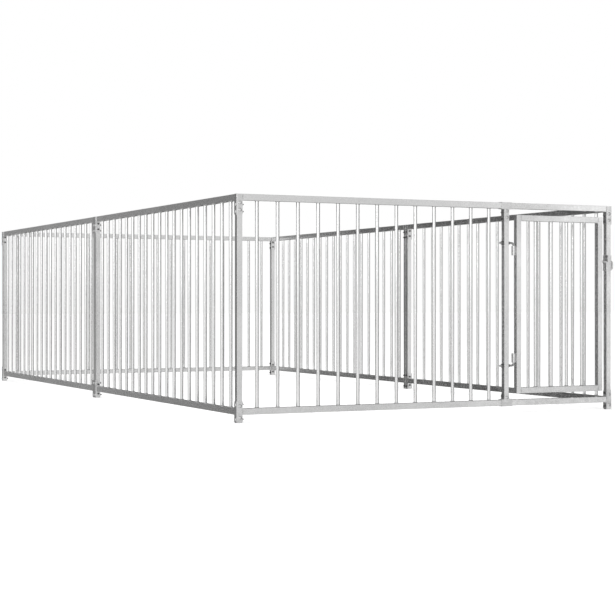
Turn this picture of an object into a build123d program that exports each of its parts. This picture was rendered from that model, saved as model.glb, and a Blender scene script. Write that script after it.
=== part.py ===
from build123d import *
import os

# A free-standing kennel cage: four bar-panel side walls two to a side, a back wall, and a front wall
# with a bar panel, a door post and a hinged door. Millimetres, +Z up, the origin on the ground at the
# middle of the plan. -X is the left side and -Y the front, where the door is.

# Overall sizes
kennel_width = 2000.0  # X, over the outer faces of the side walls
panel_length = 2000.0  # Y, one side panel over its two posts; two panels make a side
kennel_height = 1000.0

# Square post tube
post_size = 25.0
post_wall = 1.5
post_corner = 1.0

# Rail tube, as deep as the posts
rail_height = 28.0
rail_wall = 1.5
rail_corner = 1.0
foot_height = 35.0  # ground to the underside of the bottom rails

# Round bar tube
bar_diameter = 16.0
bar_wall = 1.2
bar_pitch = 100.0

# Welded end tabs of the rails that bolt on to a post
tab_thickness = 2.0
vent_diameter = 8.0  # drain through each end tab into the rail tube

# Bracket plates
bracket_thickness = 3.0
bracket_reach = 91.0  # from the top of the posts down
bracket_rise = 95.0  # from the ground up
bracket_end_radius = 7.0
bracket_ground_gap = 2.0
flange_depth = 21.0  # of the mid saddles, along the wall's thickness
saddle_edge_radius = 2.7  # on the mid saddles' outer edges
tee_width = 60.0
tee_lip = 2.5  # lips of the tee plates above and below the rails
seat_clearance = 0.2  # between a bracket's returns and what they wrap

# Carriage bolts and nuts
bolt_diameter = 6.0
bolt_hole_clearance = 0.5  # on the diameter
bolt_tail = 4.0  # thread past the nut of a crosswise bolt
head_diameter = 16.5
head_height = 3.9
nut_flats = 10.0
nut_height = 5.0
thread_clearance = 0.1  # on the diameter, nut bore over bolt
first_bolt = 46.0  # from a post's top to the upper crosswise bolt
bolt_spacing = 31.0  # between the two crosswise bolts at the top
low_bolt = 16.0  # ground to the bolt under the bottom rail
rise_bolt = 81.0  # ground to the bolt over the bottom rail
bolt_stagger = 7.0  # lengthwise bolts sit this much nearer to the rail, to pass the crosswise ones

# Door
door_width = 500.0
door_gap = 45.0  # door post to the hinge stile
latch_gap = 25.5  # latch stile to the right corner post
header_gap = 28.2  # door's top to the header rail
sill_gap = 28.7  # sill rail to the door's underside
door_bars = 4
door_bar_pitch = 90.0

# Hinges
hinge_rod = 10.0
hinge_bend = 12.0
hinge_clearance = 0.2  # on the diameter, barrel over pin
barrel_diameter = 20.0
barrel_length = 44.0
barrel_web = 8.0
barrel_gap = 2.0  # from a barrel's end to the start of the rod's bend
upper_hinge_drop = 134.8  # door's top down to the upper rod
lower_hinge_rise = 133.3  # door's underside up to the lower rod
hinge_pin_short = 6.0  # the pin's end stays this far inside the barrel
hinge_tail = 11.0  # thread past the outer nut
hinge_nut_flats = 17.0
hinge_nut_height = 8.0

# Latch
latch_rod = 10.0
latch_bend = 6.0
latch_drop = 217.8  # door's top down to the upper leg
latch_pitch = 34.0  # between the two legs
latch_travel = 8.0
latch_rest_gap = 2.0  # tip to the door's stile when drawn back
latch_stop_gap = 0.3  # left between the bend and the saddle when pushed home
latch_clearance = 0.5  # on the diameter, in the post and the saddle
bush_clearance = 0.2  # on the diameter, in the bush
keeper_side_gap = 2.0  # each side of the rod, in the slot of the door's stile
keeper_height_gap = 4.0  # over and under the rod there
saddle_thickness = 2.5
saddle_height = 76.0
saddle_below = 44.0  # from the upper leg down to the saddle's lower edge
saddle_corner = 3.0
lug_reach = 12.0
lug_height = 34.0
lug_hole = 6.5
bush_diameter = 18.0
bush_length = 7.0

# Worked out from the sizes above
left = -kennel_width / 2
right = kennel_width / 2
front = -panel_length
back = panel_length
half_post = post_size / 2
top_rail_low = kennel_height - rail_height
bottom_rail_top = foot_height + rail_height
bolt_hole = bolt_diameter + bolt_hole_clearance
front_line = front + half_post
back_line = back - half_post
door_right = right - post_size - latch_gap
door_left = door_right - door_width
door_post_x = door_left - door_gap - half_post
door_top = top_rail_low - header_gap
door_lift = bottom_rail_top + sill_gap
upper_hinge = door_top - upper_hinge_drop
lower_hinge = door_lift + lower_hinge_rise
latch_height = door_top - latch_drop
door_rail_low = door_top - rail_height
hinge_x = door_left - barrel_diameter / 2
latch_post_x = right - half_post
latch_low = latch_height - latch_pitch
saddle_low = latch_height - saddle_below
tee_outer = tee_width / 2

top_cross = [kennel_height - first_bolt, kennel_height - first_bolt - bolt_spacing]
top_along = [z + bolt_stagger for z in top_cross]
rise_cross = [rise_bolt]
rise_along = [rise_bolt - bolt_stagger]
low_cross = [*rise_cross, low_bolt]
low_along = [*rise_along, low_bolt + bolt_stagger]
cross_rows = top_cross + low_cross
along_rows = top_along + low_along
door_post_cross = top_cross + rise_cross  # the door post stops at the rails' underside
door_post_along = top_along + rise_along

sides = {"left": -1, "right": 1}
ends = {"front": -1, "rear": 1}
levels = {"top": 1, "bottom": -1}

os.makedirs("parts", exist_ok=True)


def keep(piece, name):
    """Label a finished piece and write it."""
    piece.part.label = name
    export_step(piece.part, f"parts/{name}.step")


def keep_welded(solids, name):
    """Label and write a piece whose welded plates stay solids of their own."""
    welded = Compound(children=solids)
    welded.label = name
    export_step(welded, f"parts/{name}.step")


def facing_x(x, y, z):
    """A place whose own Z lies along X."""
    return Location((x, y, z), (0, 90, 0))


def facing_y(x, y, z):
    """A place whose own Z lies along -Y."""
    return Location((x, y, z), (90, 0, 0))


def upright(x, y, low, high, x_holes=(), y_holes=(), foot=True, rod_holes=(), rod_hole=0.0):
    """A square tube post with a welded cap, a foot plate and its bolt holes."""
    with BuildPart() as post:
        with BuildSketch(Plane.XY.offset(low)):
            with Locations((x, y)):
                RectangleRounded(post_size, post_size, post_corner)
        extrude(amount=high - low)
        inner = post_size - 2 * post_wall
        floor = low + (post_wall if foot else 0)
        with BuildSketch(Plane.XY.offset(floor)):
            with Locations((x, y)):
                Rectangle(inner, inner)
        extrude(amount=high - post_wall - floor, mode=Mode.SUBTRACT)
        if x_holes:
            with Locations(*[facing_x(x, y, z) for z in x_holes]):
                Hole(bolt_hole / 2)
        if y_holes:
            with Locations(*[facing_y(x, y, z) for z in y_holes]):
                Hole(bolt_hole / 2)
        if rod_holes:
            with Locations(*[facing_x(x, y, z) for z in rod_holes]):
                Hole(rod_hole / 2)
    return post


def rail_along_y(x, y0, y1, low):
    """A rail tube welded between two posts of one side panel."""
    with BuildPart() as rail:
        with BuildSketch(Plane.XZ.offset(-y0)):
            with Locations((x, low + rail_height / 2)):
                RectangleRounded(post_size, rail_height, rail_corner)
                Rectangle(post_size - 2 * rail_wall, rail_height - 2 * rail_wall, mode=Mode.SUBTRACT)
        extrude(amount=y0 - y1)
    return rail


def rail_along_x(x0, x1, y, low, first_tab, last_tab):
    """A rail tube and the plates welded across its ends, which bolt on to posts at x0 and x1.

    Each plate is given as its lower end, its upper end and the heights of its bolt holes.
    """
    middle = low + rail_height / 2
    with BuildPart() as rail:
        with BuildSketch(Plane.YZ.offset(x0 + tab_thickness)):
            with Locations((y, middle)):
                RectangleRounded(post_size, rail_height, rail_corner)
                Rectangle(post_size - 2 * rail_wall, rail_height - 2 * rail_wall, mode=Mode.SUBTRACT)
        extrude(amount=x1 - x0 - 2 * tab_thickness)
    with BuildPart() as tabs:
        for x, (tab_low, tab_high, rows) in ((x0, first_tab), (x1 - tab_thickness, last_tab)):
            with BuildSketch(Plane.YZ.offset(x)) as tab:
                with Locations((y, (tab_low + tab_high) / 2)):
                    Rectangle(post_size, tab_high - tab_low)
                if tab_low < low:
                    fillet(tab.vertices().group_by(Axis.Y)[0], bracket_end_radius)
                if tab_high < kennel_height:
                    fillet(tab.vertices().group_by(Axis.Y)[-1], bracket_end_radius)
                with Locations(*[(y, z) for z in rows]):
                    Circle(bolt_hole / 2, mode=Mode.SUBTRACT)
                with Locations((y, middle)):
                    Circle(vent_diameter / 2, mode=Mode.SUBTRACT)
            extrude(amount=tab_thickness)
    return [*rail.solids(), *tabs.solids()]


def bar_row(points, low, high):
    """Round bar tubes standing between two rails."""
    with BuildPart() as bars:
        with BuildSketch(Plane.XY.offset(low)):
            with Locations(*points):
                Circle(bar_diameter / 2)
                Circle(bar_diameter / 2 - bar_wall, mode=Mode.SUBTRACT)
        extrude(amount=high - low)
    return bars


def dome_bolt(length):
    """A carriage bolt along Z: its seat at zero, the dome below and the thread above."""
    dome_radius = (head_diameter**2 / 4 + head_height**2) / (2 * head_height)
    with BuildPart() as bolt:
        with BuildSketch(Plane.XZ):
            with BuildLine():
                Line((0, length), (bolt_diameter / 2, length))
                Line((bolt_diameter / 2, length), (bolt_diameter / 2, 0))
                Line((bolt_diameter / 2, 0), (head_diameter / 2, 0))
                RadiusArc((head_diameter / 2, 0), (0, -head_height), dome_radius)
                Line((0, -head_height), (0, length))
            make_face()
        revolve(axis=Axis.Z)
    return bolt


def hex_nut(flats, height, bore):
    """A hexagon nut along Z, seated at zero."""
    with BuildPart() as nut:
        with BuildSketch():
            RegularPolygon(flats / 2, 6, major_radius=False)
            Circle(bore / 2, mode=Mode.SUBTRACT)
        extrude(amount=height)
    return nut


def corner_bracket(side, end, level):
    """An angle plate over the two outer faces of a corner post."""
    low = kennel_height - bracket_reach if level > 0 else bracket_ground_gap
    high = kennel_height if level > 0 else bracket_rise
    rows = (top_cross, top_along) if level > 0 else (low_cross, low_along)
    leg = post_size + bracket_thickness
    x_face = side * kennel_width / 2
    y_face = end * panel_length
    x_leg = x_face - side * (post_size - bracket_thickness) / 2
    y_leg = y_face - end * (post_size - bracket_thickness) / 2
    with BuildPart() as bracket:
        with BuildSketch(Plane.YZ.offset(x_face)) as side_leg:
            with Locations((y_leg, (low + high) / 2)):
                Rectangle(leg, high - low)
            free = side_leg.vertices().group_by(Axis.X)[0 if end > 0 else -1].sort_by(Axis.Y)
            fillet(free[:1] if level > 0 else free, bracket_end_radius)
        extrude(amount=side * bracket_thickness)
        with BuildSketch(Plane.XZ.offset(-y_face)) as end_leg:
            with Locations((x_leg, (low + high) / 2)):
                Rectangle(leg, high - low)
            free = end_leg.vertices().group_by(Axis.X)[0 if side > 0 else -1].sort_by(Axis.Y)
            fillet(free[:1] if level > 0 else free, bracket_end_radius)
        extrude(amount=-end * bracket_thickness)
        outward = Axis((0, 0, 0), (side, end, 0))
        fillet(bracket.edges().filter_by(Axis.Z).sort_by(outward)[-1], bracket_thickness)
        with Locations(*[facing_x(x_face, y_face - end * half_post, z) for z in rows[0]]):
            Hole(bolt_hole / 2)
        with Locations(*[facing_y(x_face - side * half_post, y_face, z) for z in rows[1]]):
            Hole(bolt_hole / 2)
    return bracket


def mid_bracket(side, level):
    """A saddle over the two posts where two side panels meet."""
    low = kennel_height - bracket_reach if level > 0 else bracket_ground_gap
    high = kennel_height if level > 0 else bracket_rise
    rows = (top_cross, top_along) if level > 0 else (low_cross, low_along)
    x_face = side * kennel_width / 2
    inside = post_size + seat_clearance
    flange_y = inside + bracket_thickness / 2
    under_rail = (low, top_rail_low - seat_clearance)
    if level > 0:
        spans = [under_rail]
    else:
        spans = [(low, foot_height - seat_clearance), (bottom_rail_top + seat_clearance, high)]
    with BuildPart() as bracket:
        with BuildSketch(Plane.YZ.offset(x_face)):
            with Locations((0, (low + high) / 2)):
                Rectangle(2 * (inside + bracket_thickness), high - low)
        extrude(amount=side * bracket_thickness)
        outer = bracket.edges().filter_by(Axis.Z).group_by(Axis.X)[-1 if side > 0 else 0]
        fillet(outer, saddle_edge_radius)
        for span_low, span_high in spans:
            with BuildSketch(Plane.XY.offset(span_low)):
                with Locations((x_face - side * flange_depth / 2, -flange_y)):
                    Rectangle(flange_depth, bracket_thickness)
                with Locations((x_face - side * flange_depth / 2, flange_y)):
                    Rectangle(flange_depth, bracket_thickness)
            extrude(amount=span_high - span_low)
        across = [facing_x(x_face, y, z) for y in (-half_post, half_post) for z in rows[0]]
        with Locations(*across):
            Hole(bolt_hole / 2)
        with Locations(*[facing_y(x_face - side * half_post, 0, z) for z in rows[1]]):
            Hole(bolt_hole / 2)
    return bracket


def tee_bracket(level):
    """A plate with a stem along the door post and a head that wraps the rails and the post's end."""
    rail_low = top_rail_low if level > 0 else foot_height
    rail_high = rail_low + rail_height
    rail_middle = (rail_low + rail_high) / 2
    stem_end = kennel_height - bracket_reach if level > 0 else bracket_rise
    end_lip_low = rail_high if level > 0 else rail_low - tee_lip
    stem_lip_low = rail_low - tee_lip if level > 0 else rail_high
    rows = top_along if level > 0 else rise_along
    stem_inner = half_post + tab_thickness + seat_clearance
    with BuildPart() as bracket:
        with BuildSketch(Plane.XZ.offset(-front)) as plate:
            with Locations((door_post_x, (rail_middle + stem_end) / 2)):
                Rectangle(post_size, abs(stem_end - rail_middle))
            fillet(plate.vertices().group_by(Axis.Y)[0 if level > 0 else -1], bracket_end_radius)
            with Locations((door_post_x, rail_middle)):
                Rectangle(tee_width, rail_height + 2 * tee_lip)
        extrude(amount=bracket_thickness)
        lip = tee_outer - stem_inner
        lip_x = door_post_x + stem_inner + lip / 2
        other_lip_x = door_post_x - stem_inner - lip / 2
        lip_y = front + half_post
        with BuildSketch(Plane.XY.offset(stem_lip_low)):
            with Locations((lip_x, lip_y), (other_lip_x, lip_y)):
                Rectangle(lip, post_size)
        extrude(amount=tee_lip)
        with BuildSketch(Plane.XY.offset(end_lip_low)):
            with Locations((door_post_x, lip_y)):
                Rectangle(tee_width, post_size)
        extrude(amount=tee_lip)
        with Locations(*[facing_y(door_post_x, front, z) for z in rows]):
            Hole(bolt_hole / 2)
    return bracket


# Side walls: two panels each, every panel with its own two posts
side_bars = int((panel_length - post_size) // bar_pitch)
for side_name, side in sides.items():
    wall_x = side * (kennel_width / 2 - half_post)
    for end_name, end in ends.items():
        panel = f"{side_name}_{end_name}"
        corner_y = end * (panel_length - half_post)
        mid_y = end * half_post
        latched = panel == "right_front"
        corner_post = upright(
            wall_x, corner_y, 0, kennel_height, cross_rows, along_rows,
            rod_holes=[latch_height, latch_low] if latched else [],
            rod_hole=latch_rod + latch_clearance,
        )
        keep(corner_post, f"{panel}_corner_post")
        mid_post = upright(wall_x, mid_y, 0, kennel_height, cross_rows, along_rows)
        keep(mid_post, f"{panel}_mid_post")
        y0 = min(end * post_size, end * (panel_length - post_size))
        y1 = max(end * post_size, end * (panel_length - post_size))
        keep(rail_along_y(wall_x, y0, y1, top_rail_low), f"{panel}_top_rail")
        keep(rail_along_y(wall_x, y0, y1, foot_height), f"{panel}_bottom_rail")
        bar_points = [(wall_x, end * bar_pitch * (i + 1)) for i in range(side_bars)]
        keep(bar_row(bar_points, bottom_rail_top, top_rail_low), f"{panel}_bars")

# Back wall: one panel between the corner posts
tab_top = (kennel_height - bracket_reach, kennel_height, top_cross)
tab_bottom = (bracket_ground_gap, bracket_rise, low_cross)
tab_door_post = (foot_height, bracket_rise, rise_cross)
inner_left = left + post_size
inner_right = right - post_size
keep_welded(
    rail_along_x(inner_left, inner_right, back_line, top_rail_low, tab_top, tab_top),
    "back_top_rail",
)
keep_welded(
    rail_along_x(inner_left, inner_right, back_line, foot_height, tab_bottom, tab_bottom),
    "back_bottom_rail",
)
back_bars = int((kennel_width - post_size) // bar_pitch)
back_points = [(left + bar_pitch * (i + 1), back_line) for i in range(back_bars)]
keep(bar_row(back_points, bottom_rail_top, top_rail_low), "back_bars")

# Front wall: a bar panel, the door post, and a header and a sill over and under the door
door_post = upright(
    door_post_x, front_line, foot_height, kennel_height, door_post_cross, door_post_along,
    rod_holes=[upper_hinge, lower_hinge], rod_hole=hinge_rod + bolt_hole_clearance,
)
keep(door_post, "door_post")
post_near = door_post_x - half_post
post_far = door_post_x + half_post
keep_welded(
    rail_along_x(inner_left, post_near, front_line, top_rail_low, tab_top, tab_top),
    "front_top_rail",
)
keep_welded(
    rail_along_x(inner_left, post_near, front_line, foot_height, tab_bottom, tab_door_post),
    "front_bottom_rail",
)
keep_welded(
    rail_along_x(post_far, inner_right, front_line, top_rail_low, tab_top, tab_top),
    "door_header_rail",
)
keep_welded(
    rail_along_x(post_far, inner_right, front_line, foot_height, tab_door_post, tab_bottom),
    "door_sill_rail",
)
front_bars = int((door_post_x - half_post - left) // bar_pitch)
front_points = [(left + bar_pitch * (i + 1), front_line) for i in range(front_bars)]
keep(bar_row(front_points, bottom_rail_top, top_rail_low), "front_bars")

# Brackets
for level_name, level in levels.items():
    for end_name, end in ends.items():
        for side_name, side in sides.items():
            keep(corner_bracket(side, end, level), f"{end_name}_{side_name}_{level_name}_bracket")
    for side_name, side in sides.items():
        keep(mid_bracket(side, level), f"{side_name}_mid_{level_name}_bracket")
    keep(tee_bracket(level), f"door_post_{level_name}_bracket")

# Carriage bolts and nuts. Each is placed by its head's seat and the way its thread points
tabbed_grip = bracket_thickness + post_size + tab_thickness
plain_grip = bracket_thickness + post_size
long_grip = 2 * (post_size + seat_clearance + bracket_thickness)
bolt_length = tabbed_grip + nut_height + bolt_tail
long_bolt_length = long_grip + nut_height + bolt_tail
toward_minus_x = (0, -90, 0)
toward_plus_x = (0, 90, 0)
toward_minus_y = (90, 0, 0)
toward_plus_y = (-90, 0, 0)

bolt_places = []
long_bolt_places = []
nut_places = []


def fasten(places, seat, direction, turn, grip):
    """Note one bolt and the nut that draws it up, a grip away along its thread."""
    places.append(Location(seat, turn))
    nut_at = [s + d * grip for s, d in zip(seat, direction)]
    nut_places.append(Location(tuple(nut_at), turn))


for side in sides.values():
    inward = (-side, 0, 0)
    x_turn = toward_minus_x if side > 0 else toward_plus_x
    x_seat = side * (kennel_width / 2 + bracket_thickness)
    x_post = side * (kennel_width / 2 - half_post)
    for end in ends.values():
        y_turn = toward_minus_y if end > 0 else toward_plus_y
        y_seat = end * (panel_length + bracket_thickness)
        for z in cross_rows:
            corner_seat = (x_seat, end * (panel_length - half_post), z)
            fasten(bolt_places, corner_seat, inward, x_turn, tabbed_grip)
            fasten(bolt_places, (x_seat, end * half_post, z), inward, x_turn, plain_grip)
        for z in along_rows:
            fasten(bolt_places, (x_post, y_seat, z), (0, -end, 0), y_turn, plain_grip)
    for z in along_rows:
        fasten(long_bolt_places, (x_post, long_grip / 2, z), (0, -1, 0), toward_minus_y, long_grip)
for z in door_post_cross:
    fasten(bolt_places, (post_far + tab_thickness, front_line, z), (-1, 0, 0), toward_minus_x, tabbed_grip)
for z in door_post_along:
    fasten(bolt_places, (door_post_x, front - bracket_thickness, z), (0, 1, 0), toward_plus_y, plain_grip)

bolt = dome_bolt(bolt_length)
long_bolt = dome_bolt(long_bolt_length)
nut = hex_nut(nut_flats, nut_height, bolt_diameter + thread_clearance)
with BuildPart() as carriage_bolts:
    with Locations(*bolt_places):
        add(bolt.part)
keep(carriage_bolts, "carriage_bolts")
with BuildPart() as long_carriage_bolts:
    with Locations(*long_bolt_places):
        add(long_bolt.part)
keep(long_carriage_bolts, "long_carriage_bolts")
with BuildPart() as hex_nuts:
    with Locations(*nut_places):
        add(nut.part)
keep(hex_nuts, "hex_nuts")

# Door
door_hinge_stile = upright(door_left + half_post, front_line, door_lift, door_top, foot=False)
keep(door_hinge_stile, "door_hinge_stile")
stile_blank = upright(door_right - half_post, front_line, door_lift, door_top, foot=False)
with BuildPart() as door_latch_stile:
    add(stile_blank.part)
    with BuildSketch(Plane.YZ.offset(door_right)):
        with Locations((front_line, latch_height)):
            Rectangle(latch_rod + 2 * keeper_side_gap, latch_rod + 2 * keeper_height_gap)
    extrude(amount=-half_post, mode=Mode.SUBTRACT)
keep(door_latch_stile, "door_latch_stile")

for rail_name, rail_low in {"door_top_rail": door_rail_low, "door_bottom_rail": door_lift}.items():
    with BuildPart() as door_rail:
        with BuildSketch(Plane.YZ.offset(door_left + post_size)):
            with Locations((front_line, rail_low + rail_height / 2)):
                RectangleRounded(post_size, rail_height, rail_corner)
                Rectangle(post_size - 2 * rail_wall, rail_height - 2 * rail_wall, mode=Mode.SUBTRACT)
        extrude(amount=door_width - 2 * post_size)
    keep(door_rail, rail_name)

door_middle = (door_left + door_right) / 2
door_points = [
    (door_middle + door_bar_pitch * (i - (door_bars - 1) / 2), front_line) for i in range(door_bars)
]
keep(bar_row(door_points, door_lift + rail_height, door_rail_low), "door_bars")

# Hinges: a bent rod through the door post into a barrel on the stile, the upper one pointing down
# and the lower one up, so that the door can't be lifted off
rod_start = post_near - hinge_nut_height - hinge_tail
for hinge_name, rod_height, way in (("upper", upper_hinge, -1), ("lower", lower_hinge, 1)):
    near_end = rod_height + way * (hinge_bend + barrel_gap)
    barrel_low = near_end if way > 0 else near_end - barrel_length
    pin_end = near_end + way * (barrel_length - hinge_pin_short)
    with BuildPart() as barrel:
        with BuildSketch(Plane.XY.offset(barrel_low)):
            with Locations((hinge_x, front_line)):
                Circle(barrel_diameter / 2)
            with Locations(((hinge_x + door_left) / 2, front_line)):
                Rectangle(door_left - hinge_x, barrel_web)
            with Locations((hinge_x, front_line)):
                Circle((hinge_rod + hinge_clearance) / 2, mode=Mode.SUBTRACT)
        extrude(amount=barrel_length)
    keep(barrel, f"{hinge_name}_hinge_barrel")
    with BuildPart() as hinge_bolt:
        with BuildLine() as route:
            FilletPolyline(
                (rod_start, front_line, rod_height),
                (hinge_x, front_line, rod_height),
                (hinge_x, front_line, pin_end),
                radius=hinge_bend,
            )
        with BuildSketch(Plane(origin=route.line @ 0, z_dir=route.line % 0)):
            Circle(hinge_rod / 2)
        sweep(path=route.line)
    keep(hinge_bolt, f"{hinge_name}_hinge_bolt")

hinge_nut = hex_nut(hinge_nut_flats, hinge_nut_height, hinge_rod + thread_clearance)
with BuildPart() as hinge_nuts:
    for rod_height in (upper_hinge, lower_hinge):
        with Locations(
            Location((post_near, front_line, rod_height), toward_minus_x),
            Location((post_far, front_line, rod_height), toward_plus_x),
        ):
            add(hinge_nut.part)
keep(hinge_nuts, "hinge_nuts")

# Latch: a bent rod slides through a saddle on the right corner post. Its upper leg shoots into the
# door's stile, its lower leg keeps it from turning, and the bend outside the post is the pull
latch_inner = right - post_size
saddle_high = saddle_low + saddle_height
lug_middle = saddle_high - lug_height / 2
with BuildPart() as latch_saddle:
    with BuildSketch(Plane.XY.offset(saddle_low)):
        with Locations((latch_post_x, front_line - saddle_thickness / 2)):
            Rectangle(post_size + 2 * saddle_thickness, post_size + saddle_thickness)
        with Locations((latch_post_x, front_line)):
            Rectangle(post_size, post_size, mode=Mode.SUBTRACT)
    extrude(amount=saddle_height)
    fillet(latch_saddle.edges().filter_by(Axis.Z).group_by(Axis.Y)[0], saddle_thickness)
    with BuildSketch(Plane.YZ.offset(latch_inner - saddle_thickness)) as lug:
        with Locations((front - lug_reach / 2, lug_middle)):
            Rectangle(lug_reach, lug_height)
        fillet(lug.vertices().group_by(Axis.X)[0], saddle_corner)
    extrude(amount=saddle_thickness)
    with Locations(facing_x(latch_inner, front - (saddle_thickness + lug_reach) / 2, lug_middle)):
        Hole(lug_hole / 2, depth=post_size / 2)
    with Locations(*[facing_x(latch_post_x, front_line, z) for z in (latch_height, latch_low)]):
        Hole((latch_rod + latch_clearance) / 2)
keep(latch_saddle, "latch_saddle")

with BuildPart() as latch_bush:
    with BuildSketch(Plane.YZ.offset(latch_inner - saddle_thickness - bush_length)):
        with Locations((front_line, latch_height)):
            Circle(bush_diameter / 2)
            Circle((latch_rod + bush_clearance) / 2, mode=Mode.SUBTRACT)
    extrude(amount=bush_length)
keep(latch_bush, "latch_bush")

pull_x = right + saddle_thickness + latch_stop_gap + latch_travel + latch_bend
with BuildPart() as latch_bolt:
    with BuildLine() as latch_route:
        FilletPolyline(
            (door_right + latch_rest_gap, front_line, latch_height),
            (pull_x, front_line, latch_height),
            (pull_x, front_line, latch_low),
            (latch_inner - saddle_thickness, front_line, latch_low),
            radius=latch_bend,
        )
    with BuildSketch(Plane(origin=latch_route.line @ 0, z_dir=latch_route.line % 0)):
        Circle(latch_rod / 2)
    sweep(path=latch_route.line)
keep(latch_bolt, "latch_bolt")
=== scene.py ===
"""Kennel cage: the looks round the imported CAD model.

Metres, in the CAD model's frame: origin on the ground, Z up, the front wall with the door at -Y.
"""

import itertools
import math
import random

import bmesh
import bpy
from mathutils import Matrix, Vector


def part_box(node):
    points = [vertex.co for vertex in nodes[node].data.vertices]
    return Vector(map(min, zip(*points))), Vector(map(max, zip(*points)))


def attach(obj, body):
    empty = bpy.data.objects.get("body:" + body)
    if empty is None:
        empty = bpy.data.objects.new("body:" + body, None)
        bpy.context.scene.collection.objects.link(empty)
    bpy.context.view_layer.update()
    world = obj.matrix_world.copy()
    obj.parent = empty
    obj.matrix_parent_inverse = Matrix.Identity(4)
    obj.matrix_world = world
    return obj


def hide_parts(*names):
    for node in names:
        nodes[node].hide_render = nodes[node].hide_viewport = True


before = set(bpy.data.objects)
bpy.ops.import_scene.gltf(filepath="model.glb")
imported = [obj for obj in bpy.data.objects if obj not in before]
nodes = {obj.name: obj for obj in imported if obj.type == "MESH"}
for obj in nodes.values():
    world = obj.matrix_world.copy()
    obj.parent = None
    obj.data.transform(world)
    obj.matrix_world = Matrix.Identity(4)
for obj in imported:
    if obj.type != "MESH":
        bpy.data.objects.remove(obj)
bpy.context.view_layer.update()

MM = 0.001
X, Y, Z = Vector((1, 0, 0)), Vector((0, 1, 0)), Vector((0, 0, 1))
AXES = (X, Y, Z)
ANY_ANGLE = 6.28  # radians, a full turn for a random phase

# Sizes that the pieces below repeat from the CAD model
BAR_RADIUS = 8.0 * MM
BOLT_RADIUS = 3.0 * MM
HEAD_RADIUS = 8.25 * MM
HEAD_HEIGHT = 3.9 * MM
ROD_RADIUS = 5.0 * MM
ROD_BEND = 12.0 * MM


# ---------------------------------------------------------------- reading the frame


def box_of(points):
    """Lowest and highest corner of some points."""
    low = Vector([min(p[i] for p in points) for i in range(3)])
    high = Vector([max(p[i] for p in points) for i in range(3)])
    return low, high


def solids_of(node):
    """The separate solids of a CAD node, each as a list of its points, in order of place."""
    bm = bmesh.new()
    bm.from_mesh(nodes[node].data)
    bmesh.ops.remove_doubles(bm, verts=bm.verts, dist=0.01 * MM)
    left = dict.fromkeys(bm.verts)  # a dict, because it keeps its order from run to run
    found = []
    while left:
        front = [left.popitem()[0]]
        points = []
        while front:
            vertex = front.pop()
            points.append(vertex.co.copy())
            for edge in vertex.link_edges:
                other = edge.other_vert(vertex)
                if other in left:
                    del left[other]
                    front.append(other)
        found.append(points)
    bm.free()
    found.sort(key=lambda points: tuple(round(c, 3) for c in box_of(points)[0]))
    return found


# ---------------------------------------------------------------- mesh building


def ring(centre, side, up, segments, radius_at):
    """Points round a centre. radius_at gives the radius for an angle."""
    points = []
    for i in range(segments):
        t = 2 * math.pi * i / segments
        points.append(centre + (side * math.cos(t) + up * math.sin(t)) * radius_at(t))
    return points


class Builder:
    """Collects the points and faces of one piece."""

    def __init__(self):
        self.points = []
        self.faces = []

    def skin(self, rows, closed=True, cap_end=False):
        """Joins rows of points, each closed on itself or open, and may close the last one with a face."""
        base = len(self.points)
        n = len(rows[0])
        for row in rows:
            self.points.extend(row)
        for r in range(len(rows) - 1):
            here = base + r * n
            for i in range(n if closed else n - 1):
                j = (i + 1) % n
                self.faces.append((here + i, here + j, here + n + j, here + n + i))
        if cap_end:
            last = base + (len(rows) - 1) * n
            self.faces.append(tuple(last + i for i in range(n)))

    def lathe(self, origin, axis, profile, segments, ripple=None):
        """Turns a profile of (radius, distance along the axis) pairs. ripple adds to the radius."""
        side = axis.orthogonal().normalized()
        up = axis.cross(side)
        rows = []
        for radius, along in profile:

            def radius_at(t, radius=radius):
                return radius + (ripple(t, radius) if ripple else 0.0)

            rows.append(ring(origin + axis * along, side, up, segments, radius_at))
        self.skin(rows)

    def make(self, name, body, material, smooth_angle, replaced=()):
        """Turns what was collected into a piece that rides on a body.

        Edges that turn by more than smooth_angle degrees stay sharp.
        """
        mesh = bpy.data.meshes.new(name)
        mesh.from_pydata([tuple(p) for p in self.points], [], self.faces)
        bm = bmesh.new()
        bm.from_mesh(mesh)
        bmesh.ops.recalc_face_normals(bm, faces=bm.faces)
        bm.to_mesh(mesh)
        bm.free()
        mesh.materials.append(material)
        mesh.polygons.foreach_set("use_smooth", [True] * len(mesh.polygons))
        mesh.set_sharp_from_angle(angle=math.radians(smooth_angle))
        piece = bpy.data.objects.new(name, mesh)
        bpy.context.scene.collection.objects.link(piece)
        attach(piece, body)
        if replaced:
            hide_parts(*replaced)


# ---------------------------------------------------------------- finishes


CLOUD_SCALE = 3.5  # noise scales are features to a metre
DUST_SCALE = 38.0
FINE_SCALE = 2600.0
DUST_HEIGHT = 0.14
LINE_STRETCH = 0.02  # how much the drawing lines are drawn out along the steel
RELIEF_DEPTH = 0.2 * MM
NOISE_BAND = (0.3, 0.7)  # where most of a noise's values lie
DUST_BAND = (0.42, 0.62)  # from bare steel to full dust
BEND_SCALE = 0.45  # waves to a crystal of the noise that bends the crystals' edges
BEND_REACH = 1.4  # how far it bends them, in crystals

# What the clouds and the drawing lines add to the brightness and the roughness, lowest to highest value
CLOUD_BRIGHT, CLOUD_ROUGH = (-0.05, 0.04), (0.05, -0.05)
LINE_BRIGHT, LINE_ROUGH = (-0.03, 0.03), (-0.04, 0.04)
CRYSTAL_RELIEF, LINE_RELIEF, FINE_RELIEF = 0.35, 0.4, 0.25  # shares of the relief's depth


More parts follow.
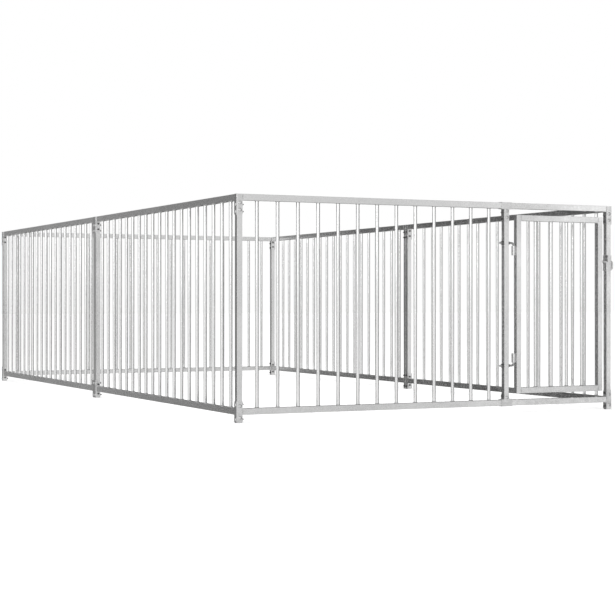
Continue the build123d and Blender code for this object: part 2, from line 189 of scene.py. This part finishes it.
def zinc(name, grey, rough, spangle, cell, grain, along=None, dirt=0.0, bump=0.12, vary=0.045):
    """Zinc-coated steel: crystal cells, drawing lines, cloudy oxide and a little dust near the ground.

    spangle and vary are how far the crystals differ in brightness and in roughness, cell is their size,
    grain is how many drawing lines there are to a metre, and along is the axis that those run along.
    """
    material = bpy.data.materials.new(name)
    material.use_nodes = True
    tree = material.node_tree
    tree.nodes.clear()
    new = tree.nodes.new
    link = tree.links.new
    out = new("ShaderNodeOutputMaterial")
    shader = new("ShaderNodeBsdfPrincipled")
    shader.inputs["Metallic"].default_value = 1.0
    shader.inputs["Specular IOR Level"].default_value = 0.5
    link(shader.outputs["BSDF"], out.inputs["Surface"])
    place = new("ShaderNodeTexCoord").outputs["Object"]

    def noise(scale, detail, stretch=(1, 1, 1)):
        mapping = new("ShaderNodeMapping")
        mapping.inputs["Scale"].default_value = stretch
        link(place, mapping.inputs["Vector"])
        texture = new("ShaderNodeTexNoise")
        texture.inputs["Scale"].default_value = scale
        texture.inputs["Detail"].default_value = detail
        link(mapping.outputs["Vector"], texture.inputs["Vector"])
        return texture.outputs["Fac"]

    def ranged(value, out_low, out_high, low=NOISE_BAND[0], high=NOISE_BAND[1]):
        node = new("ShaderNodeMapRange")
        node.inputs["From Min"].default_value = low
        node.inputs["From Max"].default_value = high
        node.inputs["To Min"].default_value = out_low
        node.inputs["To Max"].default_value = out_high
        link(value, node.inputs["Value"])
        return node.outputs["Result"]

    def maths(kind, a, b):
        node = new("ShaderNodeMath")
        node.operation = kind
        for socket, value in zip(node.inputs, (a, b)):
            if isinstance(value, float):
                socket.default_value = value
            else:
                link(value, socket)
        return node.outputs["Value"]

    def total(*values):
        sum_so_far = values[0]
        for value in values[1:]:
            sum_so_far = maths("ADD", sum_so_far, value)
        return sum_so_far

    # the crystals: cells whose edges a slow noise bends
    bend = new("ShaderNodeTexNoise")
    bend.inputs["Scale"].default_value = BEND_SCALE / cell
    link(place, bend.inputs["Vector"])
    bent = new("ShaderNodeMix")
    bent.data_type = "VECTOR"
    bent.inputs["Factor"].default_value = BEND_REACH * cell
    link(place, bent.inputs["A"])
    link(bend.outputs["Color"], bent.inputs["B"])
    cells = new("ShaderNodeTexVoronoi")
    cells.inputs["Scale"].default_value = 1.0 / cell
    cells.inputs["Randomness"].default_value = 1.0
    link(bent.outputs["Result"], cells.inputs["Vector"])
    parts = new("ShaderNodeSeparateColor")
    link(cells.outputs["Color"], parts.inputs["Color"])
    crystal, other_crystal = parts.outputs["Red"], parts.outputs["Green"]

    stretch = [LINE_STRETCH if axis == along else 1 for axis in "xyz"]
    clouds = noise(CLOUD_SCALE, 5.0)
    lines = noise(grain, 2.0, stretch)
    fine = noise(FINE_SCALE, 1.0)

    bright = total(
        ranged(crystal, 1 - spangle, 1 + spangle, 0, 1),
        ranged(clouds, *CLOUD_BRIGHT),
        ranged(lines, *LINE_BRIGHT),
    )
    roughness = total(
        ranged(other_crystal, rough - vary, rough + vary, 0, 1),
        ranged(clouds, *CLOUD_ROUGH),
        ranged(lines, *LINE_ROUGH),
    )
    if dirt:
        split = new("ShaderNodeSeparateXYZ")
        link(place, split.inputs["Vector"])
        low_down = ranged(split.outputs["Z"], 1.0, 0.0, 0.0, DUST_HEIGHT)
        patchy = ranged(noise(DUST_SCALE, 4.0), 0.0, 1.0, *DUST_BAND)
        dust = maths("MULTIPLY", maths("MULTIPLY", low_down, patchy), dirt)
        bright = maths("SUBTRACT", bright, dust)
        roughness = total(roughness, dust)
    link(roughness, shader.inputs["Roughness"])

    colour = new("ShaderNodeMix")
    colour.data_type = "RGBA"
    colour.blend_type = "MULTIPLY"
    colour.inputs["Factor"].default_value = 1.0
    colour.inputs["A"].default_value = (grey, grey, grey, 1)
    link(bright, colour.inputs["B"])
    link(colour.outputs["Result"], shader.inputs["Base Color"])

    height = total(
        ranged(crystal, 0.0, CRYSTAL_RELIEF, 0, 1),
        ranged(lines, 0.0, LINE_RELIEF),
        ranged(fine, 0.0, FINE_RELIEF),
    )
    relief = new("ShaderNodeBump")
    relief.inputs["Strength"].default_value = bump
    relief.inputs["Distance"].default_value = RELIEF_DEPTH
    link(height, relief.inputs["Height"])
    link(relief.outputs["Normal"], shader.inputs["Normal"])
    return material


def tube_zinc(part, grey, along, dirt=0.06):
    """The finish of the square tubes that run along one axis."""
    return zinc("galvanised_tube_" + part, grey, 0.24, 0.018, 9 * MM, 700.0, along, dirt, 0.03, 0.02)


# The rails' greys differ a little from wall to wall as painted light and shade: the back and left walls'
# copies are lightened, the right wall's darkened, for how light falls on each wall
TUBE_GREY = 0.71
PAINTED_LIGHT_GREY = 0.77
PAINTED_SHADE_GREY = 0.67
tube_x = tube_zinc("x", TUBE_GREY, "x")
tube_back_painted_light = tube_zinc("back", PAINTED_LIGHT_GREY, "x")
tube_left_painted_light = tube_zinc("left", PAINTED_LIGHT_GREY, "y")
tube_right_painted_shade = tube_zinc("right", PAINTED_SHADE_GREY, "y")
tube_z = tube_zinc("z", TUBE_GREY, "z", dirt=0.10)
# The bars' grey is raised above the tubes' as painted light, to brighten their highlights
bar_zinc_painted_light = zinc("galvanised_bar", 0.83, 0.15, 0.008, 7 * MM, 900.0, "z", bump=0.01, vary=0.008)
plate_zinc = zinc("galvanised_plate", 0.70, 0.28, 0.025, 11 * MM, 500.0, dirt=0.10, bump=0.04, vary=0.02)
weld_zinc = zinc("galvanised_weld", 0.60, 0.46, 0.08, 3 * MM, 1100.0, bump=0.3)
bolt_zinc = zinc("zinc_plated_bolt", 0.66, 0.24, 0.02, 4 * MM, 1500.0)
# Nuts and bolt threads: dark zinc, made darker still as painted shade for shaded grooves and painted
# reflection of dark surroundings
nut_zinc_painted_shade = zinc("zinc_nut_painted_shade", 0.14, 0.34, 0.03, 4 * MM, 1500.0)
rod_zinc = zinc("zinc_plated_rod", 0.42, 0.22, 0.02, 5 * MM, 1400.0)
latch_zinc = zinc("zinc_plated_latch", 0.88, 0.44, 0.02, 5 * MM, 1400.0)


def finish_of(name):
    """The finish of a CAD node, by its name."""
    if name.endswith("bracket") or name.endswith("barrel") or name in ("latch_saddle", "latch_bush"):
        return plate_zinc
    if name == "latch_bolt":
        return latch_zinc
    if name.endswith("hinge_bolt"):
        return rod_zinc
    if name.endswith("nuts"):
        return nut_zinc_painted_shade
    if name.endswith("carriage_bolts"):
        return bolt_zinc
    if name.endswith("bars"):
        return bar_zinc_painted_light
    if name.endswith("post") or name.endswith("stile"):
        return tube_z
    wall = name.split("_")[0]
    # the back and left walls take the lightened copies, painted light, and the right wall the darkened one,
    # painted shade
    return {"left": tube_left_painted_light, "right": tube_right_painted_shade, "back": tube_back_painted_light}.get(wall, tube_x)


for name, node in nodes.items():
    node.data.materials.clear()
    node.data.materials.append(finish_of(name))


# ---------------------------------------------------------------- bars with their welds


BAR_SEGMENTS = 32
WELD_SEGMENTS = 30
WELD_BEATS = (15, 16, 17, 18)  # ripples round a bead
WELD_RIPPLE = 0.22 * MM
WELD_SWELL = 0.35 * MM  # makes a bead a little oval
WELD_REACH = 3.0  # mm that a bar's weld bead reaches out over the rail
# mm beyond the bar's face and mm from the rail
WELD_PROFILE = ((-0.1, 3.4), (0.5, 3.0), (1.4, 2.1), (2.3, 1.2), (2.9, 0.3), (WELD_REACH, -0.3))


def ring_weld(build, centre, way, seed):
    """The weld bead round a bar's end, lying on the rail."""
    rng = random.Random(seed)
    phase = rng.uniform(0, ANY_ANGLE)
    beats = rng.choice(WELD_BEATS)
    swell = rng.uniform(0, ANY_ANGLE)

    def ripple(t, radius):
        outward = (radius - BAR_RADIUS) / (WELD_REACH * MM)
        return outward * (WELD_RIPPLE * math.sin(beats * t + phase) + WELD_SWELL * math.sin(2 * t + swell))

    profile = [(BAR_RADIUS + out * MM, rise * MM) for out, rise in WELD_PROFILE]
    build.lathe(centre, Z * way, profile, WELD_SEGMENTS, ripple)


bar_seeds = itertools.count(1)
TOP_SEEDS = 500  # added to a bar's seed for the weld at its top
for name in [n for n in nodes if n.endswith("_bars")]:
    body = "door" if name == "door_bars" else "enclosure"
    tubes = Builder()
    welds = Builder()
    for points in solids_of(name):
        low, high = box_of(points)
        middle = sum(points, Vector()) / len(points)
        foot = Vector((middle.x, middle.y, 0))
        tubes.lathe(foot, Z, [(BAR_RADIUS, low.z), (BAR_RADIUS, high.z)], BAR_SEGMENTS)
        seed = next(bar_seeds)
        ring_weld(welds, foot + Z * low.z, 1, seed)
        ring_weld(welds, foot + Z * high.z, -1, seed + TOP_SEEDS)
    tubes.make(name + "_smooth", body, bar_zinc_painted_light, smooth_angle=40, replaced=[name])
    welds.make(name + "_welds", body, weld_zinc, smooth_angle=60)


# ---------------------------------------------------------------- weld seams between tubes


seam_seeds = itertools.count(1001)
SEAM_STEP = 0.9 * MM
SEAM_ACROSS = (-1.0, -0.66, -0.33, 0.0, 0.33, 0.66, 1.0)
SEAM_BEAT = 2.6 * MM  # length of one ripple
SEAM_CURL = 0.5 * MM  # how far a ripple's crown leans along the seam
SEAM_ENDS = 6  # a seam fades out over a sixth of its length at either end
SEAM_NARROWEST = 0.35  # the share of its width that is left at the very end
SEAM_WANDER = 0.08 * MM
SEAM_SINK = 0.06 * MM  # how far a seam's edges lie inside the steel
CORNER_TRIM = 3.0 * MM  # a seam stops this far from a tube's corner

# The leg and the rise of each kind of seam
CORNER_BEAD = (2.8 * MM, 0.5 * MM)
FLUSH_BEAD = (2.0 * MM, 0.45 * MM)
SMALL_CORNER_BEAD = (2.6 * MM, 0.5 * MM)
SMALL_FLUSH_BEAD = (1.8 * MM, 0.4 * MM)


def seam(build, a, b, out, corner, leg, rise):
    """A rippled bead from a to b.

    It lies on a face that looks out or, where corner is given, between it and a face that looks that way.
    """
    rng = random.Random(next(seam_seeds))
    length = (b - a).length
    run = (b - a).normalized()
    if corner is None:
        across = run.cross(out)
        half, base = leg, 0.0
    else:
        across = (corner - out).normalized()
        out = (out + corner).normalized()
        half = base = leg / math.sqrt(2)
    steps = max(6, int(length / SEAM_STEP))
    phase = rng.uniform(0, ANY_ANGLE)
    rows = []
    for s in range(steps + 1):
        f = s / steps
        end = min(1.0, SEAM_ENDS * f, SEAM_ENDS * (1 - f)) ** 0.5
        # 1 on a ripple, where the seam is widest and highest, and 0 between two
        beat = 0.5 + 0.5 * math.sin(2 * math.pi * f * length / SEAM_BEAT + phase)
        wander = rng.uniform(-1, 1) * SEAM_WANDER
        width = half * (0.94 + 0.06 * beat) * max(end, SEAM_NARROWEST)
        row = []
        for u in SEAM_ACROSS:
            crown = 1 - u * u
            lift = crown * rise * (0.75 + 0.35 * beat) * end - SEAM_SINK
            curl = SEAM_CURL * beat * crown
            on_line = a + run * (f * length + curl * end)
            row.append(on_line + across * (u * width + wander * end) + out * (base * end + lift))
        rows.append(row)
    build.skin(rows, closed=False)


def tube_end(build, node, along, way, flush_high, flush_low):
    """The seams round one end of a rail: beads in the inside corners, flat seams on the flush faces."""
    low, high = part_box(node)
    side = Y if along is X else X
    face = along * (high if way > 0 else low).dot(along)
    near, far = face + side * low.dot(side), face + side * high.dot(side)
    bottom, top = Z * low.z, Z * high.z
    edges = (
        (far + bottom, far + top, side, True),
        (near + bottom, near + top, -side, True),
        (near + top, far + top, Z, flush_high),
        (near + bottom, far + bottom, -Z, flush_low),
    )
    for a, b, out, flush in edges:
        trim = (b - a).normalized() * CORNER_TRIM
        if flush:
            seam(build, a + trim, b - trim, out, None, *FLUSH_BEAD)
        else:
            seam(build, a + trim, b - trim, out, -along * way, *CORNER_BEAD)


def plated_end(build, low, high, way, top_flush):
    """The seams where a tube, of which the box is given, meets the bolting plate at one end."""
    x = high.x if way > 0 else low.x
    for z, out, flush in ((high.z, Z, top_flush), (low.z, -Z, False)):
        a, b = Vector((x, low.y + CORNER_TRIM, z)), Vector((x, high.y - CORNER_TRIM, z))
        if flush:
            seam(build, a, b, out, None, *SMALL_FLUSH_BEAD)
        else:
            seam(build, a, b, out, -X * way, *SMALL_CORNER_BEAD)
    for y, out in ((high.y, Y), (low.y, -Y)):
        a, b = Vector((x, y, low.z + CORNER_TRIM)), Vector((x, y, high.z - CORNER_TRIM))
        seam(build, a, b, out, None, *SMALL_FLUSH_BEAD)


enclosure_seams = Builder()
door_seams = Builder()
for panel in ("left_front", "left_rear", "right_front", "right_rear"):
    for way in (1, -1):
        tube_end(enclosure_seams, panel + "_top_rail", Y, way, True, False)
        tube_end(enclosure_seams, panel + "_bottom_rail", Y, way, False, False)
for way in (1, -1):
    tube_end(door_seams, "door_top_rail", X, way, True, False)
    tube_end(door_seams, "door_bottom_rail", X, way, False, True)

# Rails that end in bolting plates: a high one and then a low one of each pair
for pair in (("back_top", "back_bottom"), ("front_top", "front_bottom"), ("door_header", "door_sill")):
    for part in pair:
        boxes = [box_of(points) for points in solids_of(part + "_rail")]
        low, high = max(boxes, key=lambda box: box[1].x - box[0].x)  # the tube, between its two plates
        for way in (1, -1):
            plated_end(enclosure_seams, low, high, way, part == pair[0])

BARREL_SEAM_OFF = 4 * MM  # a barrel's two seams lie this far from its axis
BARREL_SEAM_TRIM = 0.5 * MM
stile_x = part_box("door_hinge_stile")[0].x
for name in ("upper_hinge_barrel", "lower_hinge_barrel"):
    low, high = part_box(name)
    for way in (1, -1):
        y = (low.y + high.y) / 2 + way * BARREL_SEAM_OFF
        a, b = Vector((stile_x, y, low.z + BARREL_SEAM_TRIM)), Vector((stile_x, y, high.z - BARREL_SEAM_TRIM))
        seam(door_seams, a, b, Y * way, -X, *SMALL_CORNER_BEAD)

enclosure_seams.make("enclosure_weld_seams", "enclosure", weld_zinc, smooth_angle=60)
door_seams.make("door_weld_seams", "door", weld_zinc, smooth_angle=60)


# ---------------------------------------------------------------- bolts and nuts


HEAD_FLATNESS = 0.77  # 1 is an ellipse, less is flatter on top
HEAD_STEPS = 13
HEAD_SEGMENTS = 28
HEAD_BEVEL = 0.5 * MM  # under the rim
HEAD_RIM = 0.2 * MM  # height of the rim
NEAR_END = HEAD_HEIGHT + 0.2 * MM  # points this near to a bolt's end show whether its head is there
SHANK_SEGMENTS = 14
THREAD_SEGMENTS = 20
THREAD_ROWS = 5  # rows of points to a pitch
NUT_SEGMENTS = 48
HAIR = 0.02 * MM  # keeps points apart that would otherwise meet
BOLT_THREAD = 10 * MM  # length of thread on a bolt
BOLT_PITCH = 1.0 * MM
ROD_PITCH = 1.5 * MM
TAPER = 0.8  # how much narrower a bolt is at its very end, in depths of its thread
NUT_FACE = 0.96  # radius of a nut's flat face, where the chamfer of its corners starts, of the flats'
NUT_CHAMFER = math.radians(32)
BORE_CHAMFER = 0.5 * MM
BORE_FIT = 0.05 * MM  # how far a nut's bore lies inside the bolt's thread


def thread_rows(origin, axis, start, end, radius, pitch, segments):
    """Rows of points along a screw thread that is half its pitch deep and fades out at its end."""
    side = axis.orthogonal().normalized()
    up = axis.cross(side)
    depth = pitch / 2
    steps = max(4, int((end - start) / (pitch / THREAD_ROWS)))
    rows = []
    for s in range(steps + 1):
        along = start + (end - start) * s / steps
        worn = 1 - min(1.0, (end - along) / pitch)

        def radius_at(t, along=along, worn=worn):
            wave = abs(((along / pitch + t / (2 * math.pi)) % 1.0) * 2 - 1)
            return radius - depth * (1 - wave) - worn * depth * TAPER

        rows.append(ring(origin + axis * along, side, up, segments, radius_at))
    return rows


def head_profile():
    """The outline of a carriage bolt's head, from its rim to its crown, with its seat at zero."""
    profile = [(HEAD_RADIUS - HEAD_BEVEL, 0.0), (HEAD_RADIUS - HAIR, -HEAD_RIM)]
    for k in range(1, HEAD_STEPS):
        t = math.pi / 2 * (1 - k / HEAD_STEPS)
        out, rise = math.sin(t) ** HEAD_FLATNESS, math.cos(t) ** HEAD_FLATNESS
        profile.append((HEAD_RADIUS * out, -HEAD_HEIGHT * rise))
    profile.append((HAIR, -HEAD_HEIGHT))
    return profile


def carriage_bolt(build, threads, points):
    """A dome-headed bolt in the place of a CAD one, with its thread in a builder of its own."""
    low, high = box_of(points)
    size = high - low
    along = max(range(3), key=lambda i: size[i])
    across = 1 if along == 0 else 0
    centre = (low + high) / 2

    def width_near(end):
        near = [p for p in points if abs(p[along] - end) < NEAR_END]
        return max(abs(p[across] - centre[across]) for p in near)

    head_low = width_near(low[along]) > width_near(high[along])
    axis = AXES[along] * (1 if head_low else -1)
    seat = centre.copy()
    seat[along] = low[along] + HEAD_HEIGHT if head_low else high[along] - HEAD_HEIGHT
    length = size[along] - HEAD_HEIGHT
    smooth = length - BOLT_THREAD
    build.lathe(seat, axis, head_profile(), HEAD_SEGMENTS)
    build.lathe(seat, axis, [(BOLT_RADIUS, 0.0), (BOLT_RADIUS, smooth)], SHANK_SEGMENTS)
    rows = thread_rows(seat, axis, smooth, length, BOLT_RADIUS, BOLT_PITCH, THREAD_SEGMENTS)
    threads.skin(rows, cap_end=True)


def nut(build, points, bore):
    """A hexagon nut with chamfered corners in the place of a CAD one."""
    low, high = box_of(points)
    size = high - low
    along = min(range(3), key=lambda i: size[i])
    one, two = [i for i in range(3) if i != along]
    flats = min(size[one], size[two]) / 2
    face = flats * NUT_FACE
    half = size[along] / 2
    turn = 30 if size[one] > size[two] else 0
    centre = (low + high) / 2
    axis, side = AXES[along], AXES[one]
    up = axis.cross(side)
    rings = [[] for _ in range(8)]
    for i in range(NUT_SEGMENTS):
        t = 2 * math.pi * i / NUT_SEGMENTS
        from_flat = (math.degrees(t) + 30 + turn) % 60 - 30
        reach = flats / math.cos(math.radians(from_flat))
        drop = (reach - face) * math.tan(NUT_CHAMFER)
        upper = ((reach, half - drop), (face, half), (bore + BORE_CHAMFER, half), (bore, half - BORE_CHAMFER))
        lower = [(r, -h) for r, h in reversed(upper)]
        d = side * math.cos(t) + up * math.sin(t)
        for points_round, (r, h) in zip(rings, (*lower, *upper)):
            points_round.append(centre + axis * h + d * r)
    build.skin(rings)


for name in ("carriage_bolts", "long_carriage_bolts"):
    bolts = Builder()
    threads = Builder()
    for points in solids_of(name):
        carriage_bolt(bolts, threads, points)
    bolts.make(name + "_domed", "enclosure", bolt_zinc, smooth_angle=35, replaced=[name])
    # the threads take the nuts' dark grey: painted shade for their grooves
    threads.make(name + "_threads", "enclosure", nut_zinc_painted_shade, smooth_angle=35)

for name, bolt_radius in (("hex_nuts", BOLT_RADIUS), ("hinge_nuts", ROD_RADIUS)):
    nuts = Builder()
    for points in solids_of(name):
        nut(nuts, points, bolt_radius - BORE_FIT)
    nuts.make(name + "_chamfered", "enclosure", nut_zinc_painted_shade, smooth_angle=30, replaced=[name])


# ---------------------------------------------------------------- hinge rods


ROD_SEGMENTS = 28
PAST_NUTS = 3 * MM  # thread that shows beyond the nuts
JOINT_OVERLAP = 0.3 * MM  # of the smooth rod into the threaded one
BEND_STEPS = 12
ROD_CHAMFER = 1.0 * MM


def hinge_rod(name, way):
    """A rod along X, threaded where the nuts run, then bent up (1) or down (-1) into the barrel."""
    low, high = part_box(name)
    thread_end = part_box("hinge_nuts")[1].x + PAST_NUTS
    level = low.z + ROD_RADIUS if way > 0 else high.z - ROD_RADIUS
    start = Vector((low.x, (low.y + high.y) / 2, level))
    rod = Builder()
    threaded = thread_rows(start, -X, low.x - thread_end, 0.0, ROD_RADIUS, ROD_PITCH, ROD_SEGMENTS)
    rod.skin(threaded, cap_end=True)

    turned = Z * way  # the way the rod points after its bend
    pin = Vector((high.x - ROD_RADIUS, start.y, high.z if way > 0 else low.z))
    bend_centre = Vector((pin.x - ROD_BEND, start.y, level + way * ROD_BEND))
    path = [(Vector((thread_end - JOINT_OVERLAP, start.y, level)), X, ROD_RADIUS)]
    for k in range(BEND_STEPS + 1):
        t = math.pi / 2 * k / BEND_STEPS
        spot = bend_centre + X * (ROD_BEND * math.sin(t)) - turned * (ROD_BEND * math.cos(t))
        path.append((spot, X * math.cos(t) + turned * math.sin(t), ROD_RADIUS))
    path.append((pin - turned * ROD_CHAMFER, turned, ROD_RADIUS))
    path.append((pin, turned, ROD_RADIUS - ROD_CHAMFER))
    rows = []
    for spot, tangent, radius in path:
        across = tangent.cross(Y).normalized()
        rows.append(ring(spot, Y, across, ROD_SEGMENTS, lambda t, radius=radius: radius))
    rod.skin(rows, cap_end=True)
    rod.make(name + "_threaded", "enclosure", rod_zinc, smooth_angle=35, replaced=[name])


hinge_rod("upper_hinge_bolt", -1)
hinge_rod("lower_hinge_bolt", 1)


# ---------------------------------------------------------------- stage: floor and cards


def plain_mesh(name, points, faces, build_nodes):
    """A stage object with a material of its own."""
    material = bpy.data.materials.new(name)
    material.use_nodes = True
    material.node_tree.nodes.clear()
    build_nodes(material.node_tree)
    mesh = bpy.data.meshes.new(name)
    mesh.from_pydata(points, [], faces)
    mesh.materials.append(material)
    obj = bpy.data.objects.new(name, mesh)
    bpy.context.scene.collection.objects.link(obj)
    return obj


FLOOR_REACH = 60.0
FLOOR_DROP = 0.5 * MM  # below the ground, so that the feet don't lie in it
FLOOR_GREY = 0.86
FLOOR_GLOW = 0.42  # for the camera only, to bring the floor up to white


def floor_nodes(tree):
    """A matt pale floor that keeps its shadows and looks white to the camera."""
    out = tree.nodes.new("ShaderNodeOutputMaterial")
    diffuse = tree.nodes.new("ShaderNodeBsdfDiffuse")
    diffuse.inputs["Color"].default_value = (FLOOR_GREY, FLOOR_GREY, FLOOR_GREY, 1)
    path = tree.nodes.new("ShaderNodeLightPath")
    seen = tree.nodes.new("ShaderNodeMath")
    seen.operation = "MULTIPLY"
    seen.inputs[1].default_value = FLOOR_GLOW
    glow = tree.nodes.new("ShaderNodeEmission")
    add = tree.nodes.new("ShaderNodeAddShader")
    tree.links.new(path.outputs["Is Camera Ray"], seen.inputs[0])
    tree.links.new(seen.outputs["Value"], glow.inputs["Strength"])
    tree.links.new(diffuse.outputs["BSDF"], add.inputs[0])
    tree.links.new(glow.outputs["Emission"], add.inputs[1])
    tree.links.new(add.outputs["Shader"], out.inputs["Surface"])


def flat_square(reach, z):
    """The points and the face of a level square."""
    return [(-reach, -reach, z), (reach, -reach, z), (reach, reach, z), (-reach, reach, z)], [(0, 1, 2, 3)]


floor = plain_mesh("studio_floor", *flat_square(FLOOR_REACH, 0), floor_nodes)
floor.location.z = -FLOOR_DROP
floor.visible_glossy = False  # metal shows the white surroundings below the horizon as well as above it

CARD_DISTANCE = 100.0
CARD_REACH = 130.0  # how far cards go up and down, and how high the one above hangs
CARD_STEPS = 24


def card(name, points, faces, grey):
    """A card that only reflections see, as a photographer stands one beside bright metal."""

    def card_nodes(tree):
        out = tree.nodes.new("ShaderNodeOutputMaterial")
        glow = tree.nodes.new("ShaderNodeEmission")
        glow.inputs["Color"].default_value = (grey, grey, grey, 1)
        tree.links.new(glow.outputs["Emission"], out.inputs["Surface"])

    obj = plain_mesh("grey_card_" + name, points, faces, card_nodes)
    obj.visible_camera = False
    obj.visible_diffuse = False
    obj.visible_transmission = False
    obj.visible_shadow = False
    obj.visible_volume_scatter = False


def standing_card(name, from_degrees, to_degrees, grey, high=CARD_REACH):
    """A curved card round part of the object, from far below the horizon up to a height.

    Angles run from the front (0, toward -Y) to the right (90, toward +X).
    """
    points = []
    for i in range(CARD_STEPS + 1):
        t = math.radians(from_degrees + (to_degrees - from_degrees) * i / CARD_STEPS)
        x, y = CARD_DISTANCE * math.sin(t), -CARD_DISTANCE * math.cos(t)
        points += [(x, y, -CARD_REACH), (x, y, high)]
    faces = [(i, i + 2, i + 3, i + 1) for i in range(0, 2 * CARD_STEPS, 2)]
    card(name, points, faces, grey)


standing_card("rear_right", 180, 198, 0.33)
standing_card("rear", 198, 204.5, 0.41)
standing_card("rear_left", 204.5, 226, 0.09)
standing_card("left", 226, 238, 0.85)
standing_card("right_front", 45, 70, 0.04)
standing_card("right", 70, 140, 0.27)
standing_card("right_rear", 140, 180, 0.09)
standing_card("front", 24, 31, 0.74)
standing_card("front_low", -60, 24, 0.93, high=0.0)
standing_card("front_right_low", 31, 45, 0.85, high=0.0)
card("above", *flat_square(CARD_REACH, CARD_REACH), 0.30)


# ---------------------------------------------------------------- stage: world, lights, camera


def white_world(ambient, backdrop):
    """A white world: one strength lights the object, another shows to the camera, metal and glass."""
    world = bpy.data.worlds.new("studio")
    bpy.context.scene.world = world
    world.use_nodes = True
    tree = world.node_tree
    tree.nodes.clear()
    out = tree.nodes.new("ShaderNodeOutputWorld")
    choose = tree.nodes.new("ShaderNodeMixShader")
    for place, strength in ((1, ambient), (2, backdrop)):
        background = tree.nodes.new("ShaderNodeBackground")
        background.inputs["Color"].default_value = (1, 1, 1, 1)
        background.inputs["Strength"].default_value = strength
        tree.links.new(background.outputs["Background"], choose.inputs[place])
    rays = tree.nodes.new("ShaderNodeLightPath")
    seen = rays.outputs["Is Camera Ray"]
    for kind in ("Is Glossy Ray", "Is Transmission Ray"):
        either = tree.nodes.new("ShaderNodeMath")
        either.operation = "MAXIMUM"
        tree.links.new(seen, either.inputs[0])
        tree.links.new(rays.outputs[kind], either.inputs[1])
        seen = either.outputs["Value"]
    tree.links.new(seen, choose.inputs["Fac"])
    tree.links.new(choose.outputs["Shader"], out.inputs["Surface"])


def softbox(name, at, aim, wide, high, watts):
    """A rectangular light at a place, facing another."""
    light = bpy.data.lights.new(name, "AREA")
    light.shape = "RECTANGLE"
    light.size = wide
    light.size_y = high
    light.energy = watts
    obj = bpy.data.objects.new(name, light)
    obj.location = at
    obj.rotation_mode = "QUATERNION"
    obj.rotation_quaternion = (Vector(aim) - Vector(at)).to_track_quat("-Z", "Y")
    bpy.context.scene.collection.objects.link(obj)
    return obj


white_world(ambient=0.75, backdrop=1.0)
overhead = softbox("overhead", at=(-1.5, -2.0, 6.0), aim=(0, 0, 0.4), wide=5.0, high=6.0, watts=120)
overhead.visible_glossy = False  # its mirror image would wash out the tops of the front rails
softbox("front_left", at=(-7.5, -8.5, 2.6), aim=(0, -0.5, 0.5), wide=3.0, high=3.5, watts=80)
softbox("front_right", at=(19.3, -25.8, 0.6), aim=(0, -1.5, 0.5), wide=7.0, high=8.0, watts=60)

# The camera was solved from the panel edges in the photograph. It is level, so upright edges stay upright.
camera_data = bpy.data.cameras.new("camera")
camera_data.sensor_width = 36.0
camera_data.lens = 89.06
camera_data.shift_x = 0.00124
camera_data.shift_y = -0.00804
camera_data.clip_end = 200.0
camera = bpy.data.objects.new("camera", camera_data)
camera.location = (-3.611, -8.094, 0.5254)
camera.rotation_mode = "QUATERNION"
camera.rotation_quaternion = Vector((0.43547, 0.90020, 0.0)).to_track_quat("-Z", "Y")
bpy.context.scene.collection.objects.link(camera)
bpy.context.scene.camera = camera
bpy.context.scene.view_settings.view_transform = "Standard"
